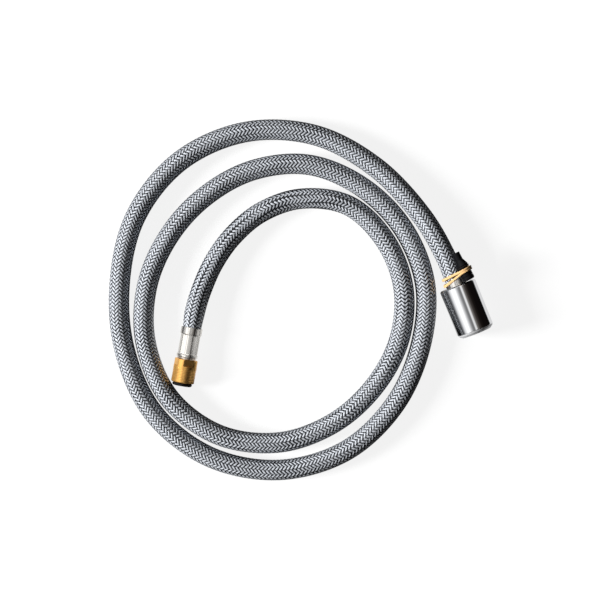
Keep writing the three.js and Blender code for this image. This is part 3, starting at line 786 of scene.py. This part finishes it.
def made_by(tree, carrier, values, name):
    """The mesh that a geometry tree makes from the carrier's data, as a plain object."""
    maker = placed(name + "_maker", carrier)
    modifier = maker.modifiers.new(name, "NODES")
    modifier.node_group = tree
    for item in tree.interface.items_tree:
        if item.in_out == "INPUT" and item.name in values:
            modifier[item.identifier] = values[item.name]
    bpy.context.view_layer.update()
    evaluated = maker.evaluated_get(bpy.context.evaluated_depsgraph_get())
    mesh = bpy.data.meshes.new_from_object(evaluated)
    mesh.name = name
    maker.modifiers.remove(modifier)
    bpy.data.objects.remove(maker)
    return placed(name, mesh)


def make_braid():
    """The braid in a row of pieces, cut between crossings."""
    tree = make_braid_tree()
    carrier = route_curve()
    crossing = BRAID_LEAD / CARRIERS
    crossings = round((BRAID_END - BRAID_START) / crossing)
    edges = [round(crossings * i / BRAID_PIECES) for i in range(BRAID_PIECES + 1)]
    pieces = []
    for number, (low, high) in enumerate(zip(edges, edges[1:]), 1):
        values = BRAID | {
            "From": BRAID_START + low * crossing,
            "To": BRAID_START + high * crossing,
            "Points": (high - low) * STEPS_PER_CROSSING + 1,
        }
        piece = made_by(tree, carrier, values, f"braid_yarns_{number}")
        pieces.append(settle(piece, "hose", "braid", "hose_braid"))
    return pieces


braid = make_braid()

# ---------- outlet fitting, in mm

G12_PITCH = 1.814
G12_START, G12_END = 21.4, 32.2
NUT_BORE, NUT_THREAD_ROOT = 9.3, 10.4


def barbs(start, count, pitch, crest, root):
    points = []
    for i in range(count):
        points += [(root, start + i * pitch), (crest, start + (i + 0.8) * pitch, 0.05)]
    return points


def flat_ring(name, inside, outside, start, thickness, axes, edge=0.2, body="hose"):
    end = start + thickness
    corners = [
        (inside, start, edge), (outside, start, edge), (outside, end, edge), (inside, end, edge)
    ]
    return turned(name, corners, axes, body)


def round_ring(name, middle, half_width, centre, half_height, axes):
    """A sealing ring with a round or flattened section."""
    corners = []
    for i in range(16):
        angle = -math.pi / 2 + 2 * math.pi * i / 16
        wide, high = half_width * math.cos(angle), half_height * math.sin(angle)
        corners.append((middle + wide, centre + high))
    return turned(name, corners, axes)


def make_outlet():
    nut = [
        (7.6, 0.0, 0.25), (11.2, 0.0, 0.15), (12.0, 0.8, 0.2), (12.0, 30.4, 0.4),
        (11.35, 31.6, 0.8), (10.2, 32.6, 0.6), (9.6, 33.0, 0.15), (NUT_BORE, G12_END),
        *thread_rows(G12_END - 0.05, G12_START, G12_PITCH, NUT_BORE),
        (NUT_BORE, 17.2), (7.6, 17.2, 0.2),
    ]
    thread = thread_shape(G12_START, G12_END, G12_PITCH, NUT_BORE, NUT_THREAD_ROOT, 1.2)
    ferrule = [
        (6.6, -3.5, 0.2), (7.25, -3.5, 0.35), (7.25, -0.6), (7.25, 15.6, 0.4), (6.7, 16.2, 0.3),
        (4.6, 16.2, 0.2), (4.6, 15.6), (6.6, 15.6),
    ]
    insert = [
        (2.6, -1.5), *barbs(-1.5, 5, 3.0, 3.6, 3.25), (3.25, 15.3), (4.2, 15.3), (4.2, 18.8),
        (8.9, 18.8, 0.2), (8.9, 20.8, 0.3), (3.2, 20.8, 0.3), (2.6, 20.2, 0.2),
    ]
    return [
        turned("outlet_nut_chrome", nut, OUTLET, "outlet_nut", 144, thread),
        turned("outlet_ferrule_nickel", ferrule, OUTLET),
        turned("outlet_insert_brass", insert, OUTLET),
        flat_ring("outlet_slip_ring_acetal", 4.6, 8.9, 17.5, 1.0, OUTLET),
        flat_ring("outlet_washer_rubber", 5.0, 8.9, 21.1, 2.2, OUTLET, 0.35),
    ]


outlet_pieces = make_outlet()

# ---------- inlet fitting, in mm

CRIMP_FLAT = 6.15
CRIMP_CROWN = 0.45
CRIMP_CORNER_TURN = math.radians(73)
CRIMP_START, CRIMP_END, CRIMP_RAMPS, CRIMP_RISE = 4.4, 17.2, (0.7, 0.8), 1.2
CRIMP_BLEND = 0.10
DIE_MARKS, DIE_MARK_REACH, DIE_MARK_DEPTH = (4.75, 18.35), 0.35, 0.4


def crimp_shape(angle, radius, height):
    """Presses six crowned flats into the tube between the collar and the end lip."""
    if radius < CRIMP_FLAT:
        return radius, height
    ramp_in = max(0.0, (CRIMP_START + CRIMP_RAMPS[0] - height) / CRIMP_RAMPS[0])
    ramp_out = max(0.0, (height - CRIMP_END) / CRIMP_RAMPS[1])
    flat = CRIMP_FLAT + CRIMP_RISE * max(ramp_in, ramp_out)
    sixth = math.pi / 3
    from_flat = (angle - CRIMP_CORNER_TURN) % sixth - sixth / 2
    plane = flat * (1 + CRIMP_CROWN * (1 / math.cos(from_flat) - 1))
    weights = math.exp(-radius / CRIMP_BLEND) + math.exp(-plane / CRIMP_BLEND)
    apart = math.exp(-abs(plane - radius) / CRIMP_BLEND)
    pressed = -CRIMP_BLEND * math.log(weights) + CRIMP_BLEND * math.log(1 + apart) * 0.5
    mark = max(max(0.0, 1.0 - abs(height - middle) / DIE_MARK_REACH) for middle in DIE_MARKS)
    return pressed - DIE_MARK_DEPTH * mark, height


FLATS_END = 25.1
FLAT_DISTANCE = 6.5
FLATS_TURN = math.radians(66)
M15_START, M15_END, M15_PITCH, M15_CREST = 26.6, 35.4, 1.0, 7.5
M15_THREAD = thread_shape(M15_START, M15_END, M15_PITCH, M15_CREST, 7.30, 0.7)


def connector_shape(angle, radius, height):
    """Four wrench flats behind, a fine thread in front."""
    if radius > FLAT_DISTANCE - 0.05 and height <= FLATS_END:
        quarter = math.pi / 2
        from_flat = (angle - FLATS_TURN + quarter / 2) % quarter - quarter / 2
        return min(radius, FLAT_DISTANCE / math.cos(from_flat)), height
    return M15_THREAD(angle, radius, height)


def make_inlet():
    ferrule = [
        (6.3, 0.0, 0.15), (6.85, 0.0, 0.3), *even_rows(6.85, 0.8, 18.5, 72), (6.85, 19.2, 0.35),
        (3.9, 19.2, 0.2), (3.9, 18.6), (5.5, 18.6), (5.5, 6.2), (6.3, 4.4),
    ]
    connector = [
        (5.0, 20.6, 0.2), (7.1, 20.6), (7.5, 21.0), (7.5, FLATS_END), (7.5, FLATS_END + 0.001),
        *thread_rows(M15_START, 35.2, M15_PITCH, M15_CREST),
        (7.0, 35.8, 0.1), (6.45, 35.8, 0.1), (6.45, 32.5), (5.0, 32.5, 0.1),
    ]
    insert = [
        (2.1, 0.8), *barbs(0.8, 5, 3.2, 3.1, 2.75), (2.75, 18.4), (3.55, 18.4), (3.55, 19.5),
        (6.2, 19.55, 0.2), (6.2, 20.15, 0.2), (4.7, 20.15), (4.7, 33.5), (4.1, 33.5),
        (4.1, 34.9), (4.0, 34.9), (4.0, 37.6, 0.35), (2.3, 37.6, 0.2), (2.1, 37.3, 0.1),
    ]
    return [
        turned("inlet_ferrule_nickel", ferrule, INLET, "hose", 180, crimp_shape),
        turned("inlet_connector_brass", connector, INLET, "inlet_connector", 180, connector_shape),
        turned("inlet_insert_nickel", insert, INLET),
        flat_ring(
            "inlet_slip_washer_acetal", 5.0, 5.9, 32.8, 0.6, INLET, 0.1, "inlet_connector"
        ),
        flat_ring("inlet_retaining_ring_steel", 4.4, 5.7, 33.7, 0.8, INLET, 0.1),
        round_ring("inlet_o_ring_rubber", 5.3, 1.05, 36.95, 1.05, INLET),
    ]


inlet_pieces = make_inlet()

# ---------- check valve, in mm

VALVE_NECK_END = Vector((5.4, 9.3, -19.6)) * MM
VALVE_CAP_END = Vector((7.15, 9.3, -0.6)) * MM
VALVE_RADIUS = 4.1


def valve_axes():
    along = (VALVE_CAP_END - VALVE_NECK_END).normalized()
    upward = Vector((0.0, 1.0, 0.0))
    turn = Matrix((upward.cross(along), upward, along)).transposed().to_4x4()
    return OUTLET @ Matrix.Translation(VALVE_NECK_END) @ turn


VALVE = valve_axes()
COIL_RADIUS, COIL_WIRE = 2.1, 0.18
COIL_TURNS = (0.0, 0.75, 3.75, 4.5)
COIL_PLACES = (8.9, 9.2, 11.4, 11.7)
COIL_STEPS, COIL_SIDES = 32, 12


def make_valve_spring():
    """A coil with closed ends."""
    turns = np.linspace(0, COIL_TURNS[-1], int(COIL_TURNS[-1] * COIL_STEPS) + 1)
    around = np.column_stack([np.cos(2 * math.pi * turns), np.sin(2 * math.pi * turns), 0 * turns])
    centres = around * COIL_RADIUS
    centres[:, 2] = np.interp(turns, COIL_TURNS, COIL_PLACES)
    angles = -np.linspace(0, 2 * math.pi, COIL_SIDES, endpoint=False)
    ring = around[:, None] * np.cos(angles)[None, :, None]
    ring = ring + np.array(UP)[None, None] * np.sin(angles)[None, :, None]
    points = (centres[:, None] + ring * COIL_WIRE).reshape(-1, 3) * MM
    faces = closed_grid(len(turns), COIL_SIDES, False)
    first, last = range(COIL_SIDES), range(len(points) - COIL_SIDES, len(points))
    faces += [tuple(reversed(first)), tuple(last)]
    attributes = {"along": points[:, 2], "around": np.repeat(around, COIL_SIDES, axis=0)}
    coil = fitted("valve_spring_steel", points, faces, VALVE, "hose", attributes)
    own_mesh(coil)
    return coil


def make_valve():
    body = [
        (1.6, 0.0, 0.2), (2.6, 0.0, 0.35), (2.6, 5.1, 0.5), (VALVE_RADIUS, 8.8, 0.5),
        (VALVE_RADIUS, 9.3, 0.05), (3.65, 9.3), (3.65, 10.6), (VALVE_RADIUS, 10.6, 0.1),
        (VALVE_RADIUS, 16.3, 0.12), (3.2, 16.3), (3.2, 8.4), (1.6, 8.4),
    ]
    cap = [
        (1.8, 14.5), (2.9, 14.5, 0.1), (2.9, 16.5), (VALVE_RADIUS, 16.5, 0.12),
        (VALVE_RADIUS, 19.1, 1.4), (1.8, 19.1, 0.25),
    ]
    return [
        turned("valve_body_black", body, VALVE),
        turned("valve_cap_black", cap, VALVE),
        round_ring("valve_o_ring_rubber", 4.05, 0.33, 9.95, 0.5, VALVE),
        make_valve_spring(),
    ]


valve_pieces = make_valve()

# ---------- rubber band, in mm

BAND_WIRE = 0.6
BAND_WIDE_ON_HOSE, BAND_WIDE_ON_VALVE = 1.45, 1.02
BAND_SQUARENESS = 0.62
BAND_STEPS, BAND_SIDES, OUTLINE_STEPS = 120, 16, 200
# In the outlet's axes: the run's two ends and where its turns lie side by side, across, and
# where each of the two turns lies on the hose and on the valve, along.
HOSE_SIDE, VALVE_SIDE, BESIDE_FROM = -8.0, 12.0, 4.0
ON_HOSE, ON_VALVE = (-1.9, -6.1), (-8.5, -7.2)
# How high one turn rises over the other where they cross, and how far off that starts.
BAND_LIFT, BAND_LIFT_REACH = 1.7, 9.0
# The ferrule under the band, and how far before its mouth and how gently the band steps up.
FERRULE_RADIUS, FERRULE_MOUTH, FERRULE_STEP = 7.25, -3.5, (1.3, 1.0)
SNUG = 0.05


def band_outline(count):
    """Points round hose and valve in the outlet's cross plane, from where it meets the valve."""
    neck, cap = VALVE_NECK_END / MM, VALVE_CAP_END / MM
    centre = neck.lerp(cap, (sum(ON_VALVE) / 2 - neck.z) / (cap.z - neck.z))
    hose = HOSE_RADIUS / MM + BAND_WIRE + SNUG
    valve = VALVE_RADIUS + BAND_WIRE + SNUG
    lean = math.atan2(centre.y, centre.x)
    spread = math.acos((hose - valve) / math.hypot(centre.x, centre.y))
    fine = []
    for angle in np.linspace(lean + spread, lean - spread, OUTLINE_STEPS):
        fine.append((centre.x + valve * math.cos(angle), centre.y + valve * math.sin(angle)))
    for angle in np.linspace(lean - spread, lean + spread - 2 * math.pi, OUTLINE_STEPS):
        fine.append((hose * math.cos(angle), hose * math.sin(angle)))
    fine = np.array([*fine, fine[0]])
    lengths = np.concatenate([[0], np.cumsum(np.linalg.norm(np.diff(fine, axis=0), axis=1))])
    spots = np.linspace(0, lengths[-1], count, endpoint=False)
    return np.column_stack([np.interp(spots, lengths, fine[:, k]) for k in range(2)])


def run_value(across, until, on_hose, on_other):
    """A value that changes evenly as the band crosses from the hose's far side."""
    return np.interp(across, (HOSE_SIDE, until), (on_hose, on_other))


def band_middle(outline, outward):
    """Both turns: side by side over the top of the valve, and crossing once underneath."""
    across = outline[:, 0]
    valve_end, hose_end = int(np.argmax(across)), int(np.argmin(across))
    far = run_value(across, VALVE_SIDE, ON_HOSE[1], ON_VALVE[0])
    gap = run_value(across, BESIDE_FROM, ON_HOSE[0] - ON_HOSE[1], ON_VALVE[1] - ON_VALVE[0])
    over = (far, far + gap)
    under = [run_value(across, VALVE_SIDE, ON_HOSE[turn], ON_VALVE[turn]) for turn in (0, 1)]
    places = np.arange(len(outline))
    is_under = (places > valve_end) & (places < hose_end)
    crossing = places[is_under][np.argmin(np.abs(under[0] - under[1])[is_under])]
    spacing = float(np.linalg.norm(outline[1] - outline[0]))
    from_crossing = np.minimum(np.abs(places - crossing) * spacing / BAND_LIFT_REACH, 1.0)
    rise = BAND_LIFT * np.cos(math.pi / 2 * from_crossing) ** 2
    rows = []
    for turn in (0, 1):
        over_turn = np.where(places <= valve_end, over[turn], over[1 - turn])
        along = np.where(is_under, under[turn], over_turn)
        spots = outline + outward * (turn * rise)[:, None]
        reach = np.linalg.norm(spots, axis=1)
        past_mouth = (along - FERRULE_MOUTH + FERRULE_STEP[0]) / FERRULE_STEP[1]
        on_ferrule = np.clip(past_mouth, 0.0, 1.0)
        wanted = np.maximum(reach, (FERRULE_RADIUS + BAND_WIRE + SNUG) * on_ferrule)
        spots *= (wanted / reach)[:, None]
        rows.append(np.column_stack([spots, along]))
    return np.concatenate(rows)


def squarish(values):
    """A sine or cosine swollen towards a square."""
    return np.sign(values) * np.abs(values) ** BAND_SQUARENESS


def make_band():
    outline = band_outline(BAND_STEPS)
    run = np.roll(outline, -1, axis=0) - np.roll(outline, 1, axis=0)
    outward = unit(np.column_stack([-run[:, 1], run[:, 0]]))
    centres = band_middle(outline, outward)
    outs = np.column_stack([np.tile(outward, (2, 1)), np.zeros(2 * BAND_STEPS)])
    heading = unit(np.roll(centres, -1, axis=0) - np.roll(centres, 1, axis=0))
    side = unit(np.cross(heading, outs))
    outs = np.cross(side, heading)
    angles = np.linspace(0, 2 * math.pi, BAND_SIDES, endpoint=False)
    thick, broad = squarish(np.cos(angles)), squarish(np.sin(angles))
    across = np.tile(outline[:, 0], 2)
    wide = run_value(across, VALVE_SIDE, BAND_WIDE_ON_HOSE, BAND_WIDE_ON_VALVE)
    ring = outs[:, None] * thick[None, :, None]
    ring = ring + (side * wide[:, None])[:, None] * broad[None, :, None]
    points = (centres[:, None] + ring * BAND_WIRE).reshape(-1, 3) * MM
    faces = closed_grid(2 * BAND_STEPS, BAND_SIDES, True)
    return fitted("rubber_band_amber", points, faces, OUTLET, "hose")


band = make_band()

# ---------- pieces kept as built

for node, material in (("valve_poppet", ACETAL), ("valve_poppet_seal", RUBBER)):
    mesh = frame["nodes"][node].data
    mesh.materials.clear()
    mesh.materials.append(material)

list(valve_pieces[:1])

# ---------- floor, world and light

WHITE = (1.0, 1.0, 1.0, 1.0)
DARK_SIDE = Vector((0.985, -0.174, 0.0))
FLOOR_HALF = 3.0
# The floor's reflectance, and how much more of it the camera sees.
FLOOR_ALBEDO, FLOOR_EXTRA = 0.15, 0.01
# From how far off metal sees the floor fade, with Y counted shorter, and what is left of it.
FADE_REACH, FADE_SHAPE, FADED = (0.14, 0.20), (1.0, 0.6, 1.0), 0.03
# The floor's own light, for the camera alone, near the object and far from it: lower near the
# object, which paints a faint shade round it.
GLOW_REACH, GLOW = (0.12, 0.40), (0.87, 1.0)
# Painted glowing patches on the floor that only metal sees, in place of bright cards: middle, reach
# and level.
PAINTED_CARD_GLOWS = (((0.130, -0.006, 0.0), 0.034, 0.70), ((-0.070, -0.026, 0.0), 0.021, 0.70))
PAINTED_CARD_EDGE = 0.012


def make_floor_material():
    """White to the camera with a soft shadow, under a painted glow that is dimmer round the object.
    Metal sees it fade out, with painted glowing patches on it in place of bright cards.
    """
    material = bpy.data.materials.new("white_floor")
    material.use_nodes = True
    tree = material.node_tree
    tree.nodes.clear()
    rays = put(tree, "ShaderNodeLightPath").outputs
    mirrored = calc(tree, "MAXIMUM", rays["Is Glossy Ray"], rays["Is Transmission Ray"])
    place = object_place(tree)
    away = measured(tree, "LENGTH", vector(tree, "MULTIPLY", place, FADE_SHAPE))
    near = mapped(tree, away, *FADE_REACH, 1.0, FADED)
    fade = calc(tree, "MAXIMUM", near, calc(tree, "SUBTRACT", 1.0, mirrored))
    albedo = calc(tree, "MULTIPLY_ADD", rays["Is Camera Ray"], FLOOR_EXTRA, FLOOR_ALBEDO)
    shade = calc(tree, "MULTIPLY", albedo, fade)
    grey = put(tree, "ShaderNodeCombineColor", [shade, shade, shade]).outputs[0]
    diffuse = put(tree, "ShaderNodeBsdfDiffuse", [grey])
    # Painted light: glowing patches on the floor that only metal sees.
    card_glows = []
    for centre, reach, level in PAINTED_CARD_GLOWS:
        distance = measured(tree, "DISTANCE", place, centre)
        card_glows.append(mapped(tree, distance, reach, reach + PAINTED_CARD_EDGE, level, 0.0))
    painted_card_glow = calc(tree, "MULTIPLY", mirrored, calc(tree, "MAXIMUM", *card_glows))
    # Painted glow for the camera, dimmer near the object than far off.
    painted_glow = mapped(tree, measured(tree, "LENGTH", place), *GLOW_REACH, *GLOW)
    own = calc(tree, "MULTIPLY_ADD", rays["Is Camera Ray"], painted_glow, painted_card_glow)
    lift = put(tree, "ShaderNodeEmission", {"Color": WHITE, "Strength": own})
    both = put(tree, "ShaderNodeAddShader", [diffuse.outputs[0], lift.outputs[0]])
    put(tree, "ShaderNodeOutputMaterial", [both.outputs[0]])
    return material


def make_floor():
    mesh = bpy.data.meshes.new("floor")
    signs = ((-1, -1), (1, -1), (1, 1), (-1, 1))
    corners = [(x * FLOOR_HALF, y * FLOOR_HALF, 0) for x, y in signs]
    mesh.from_pydata(corners, [], [(0, 1, 2, 3)])
    mesh.materials.append(make_floor_material())
    floor = placed("floor", mesh)


# What a level mirror turned about the hose's lying axis sees, from the left horizon over the
# top to the right one: a tall soft box on the left, a narrow one overhead, a dark right side.
STUDIO = [
    (0.000, (0.070, 0.071, 0.076)), (0.020, (0.070, 0.071, 0.079)),
    (0.082, (0.330, 0.335, 0.345)), (0.138, (0.90, 0.90, 0.91)),
    (0.190, (1.15, 1.15, 1.15)), (0.254, (1.50, 1.50, 1.50)),
    (0.322, (1.40, 1.40, 1.40)), (0.360, (1.00, 1.00, 1.00)),
    (0.397, (0.60, 0.60, 0.605)), (0.432, (0.32, 0.32, 0.325)),
    (0.468, (0.19, 0.19, 0.193)), (0.498, (0.26, 0.26, 0.26)),
    (0.520, (0.85, 0.85, 0.85)), (0.550, (0.78, 0.78, 0.78)),
    (0.580, (0.20, 0.188, 0.175)), (0.640, (0.045, 0.038, 0.035)),
    (0.718, (0.009, 0.007, 0.006)), (0.810, (0.004, 0.003, 0.003)),
    (1.000, (0.004, 0.003, 0.003)),
]
FAR_SIDE_GAIN = 0.45


def make_world():
    """White to the camera. What metal mirrors is a studio with one bright side."""
    world = bpy.data.worlds.new("studio")
    bpy.context.scene.world = world
    world.use_nodes = True
    world.cycles_visibility.diffuse = False
    tree = world.node_tree
    tree.nodes.clear()
    heading = put(tree, "ShaderNodeTexCoord").outputs["Generated"]
    parts = put(tree, "ShaderNodeSeparateXYZ", [heading])
    sideways = measured(tree, "DOT_PRODUCT", heading, tuple(DARK_SIDE))
    lean = calc(tree, "ARCTAN2", sideways, parts.outputs["Z"])
    share = calc(tree, "MULTIPLY_ADD", lean, 1 / math.pi, 0.5)
    level = calc(tree, "MULTIPLY_ADD", parts.outputs["Y"], FAR_SIDE_GAIN, 1.0)
    colors = ramp(tree, share, STUDIO)
    studio = put(tree, "ShaderNodeBackground", {"Color": colors, "Strength": level})
    white = put(tree, "ShaderNodeBackground", {"Color": WHITE, "Strength": 1.0})
    camera_ray = put(tree, "ShaderNodeLightPath").outputs["Is Camera Ray"]
    mixed = put(tree, "ShaderNodeMixShader", [camera_ray, studio.outputs[0], white.outputs[0]])
    put(tree, "ShaderNodeOutputWorld", [mixed.outputs[0]])


def make_lamp(name, place, facing, wide, tall, power, in_metal):
    """An unseen panel of light, which shows either in metal only or in everything but metal."""
    data = bpy.data.lights.new(name, "AREA")
    data.shape = "RECTANGLE"
    data.size, data.size_y = wide, tall
    data.energy = power
    lamp = placed(name, data)
    lamp.location = place
    lamp.rotation_euler = facing.to_track_quat("-Z", "Y").to_euler()
    lamp.visible_camera = False
    lamp.visible_glossy = in_metal
    lamp.visible_diffuse = not in_metal


SIDE_LAMP, TOP_LAMP = Vector((-2.6, -0.2, 1.3)), Vector((0.1, 0.3, 1.6))
# A small card beside the inlet's ferrule, facing away from the dark side.
CARD_SPOT, CARD_WIDE, CARD_TALL, CARD_LEVEL = (-0.022, -0.034, 0.018), 0.028, 0.036, 0.45

make_floor()
make_world()
make_lamp("side_lamp", SIDE_LAMP, -SIDE_LAMP, 0.8, 0.8, 190.0, False)
make_lamp("top_lamp", TOP_LAMP, -TOP_LAMP, 1.4, 1.4, 1.5, False)
card_power = CARD_LEVEL * math.pi * CARD_WIDE * CARD_TALL
make_lamp("ferrule_card", CARD_SPOT, -DARK_SIDE, CARD_WIDE, CARD_TALL, card_power, True)
bpy.context.scene.view_settings.view_transform = "Standard"
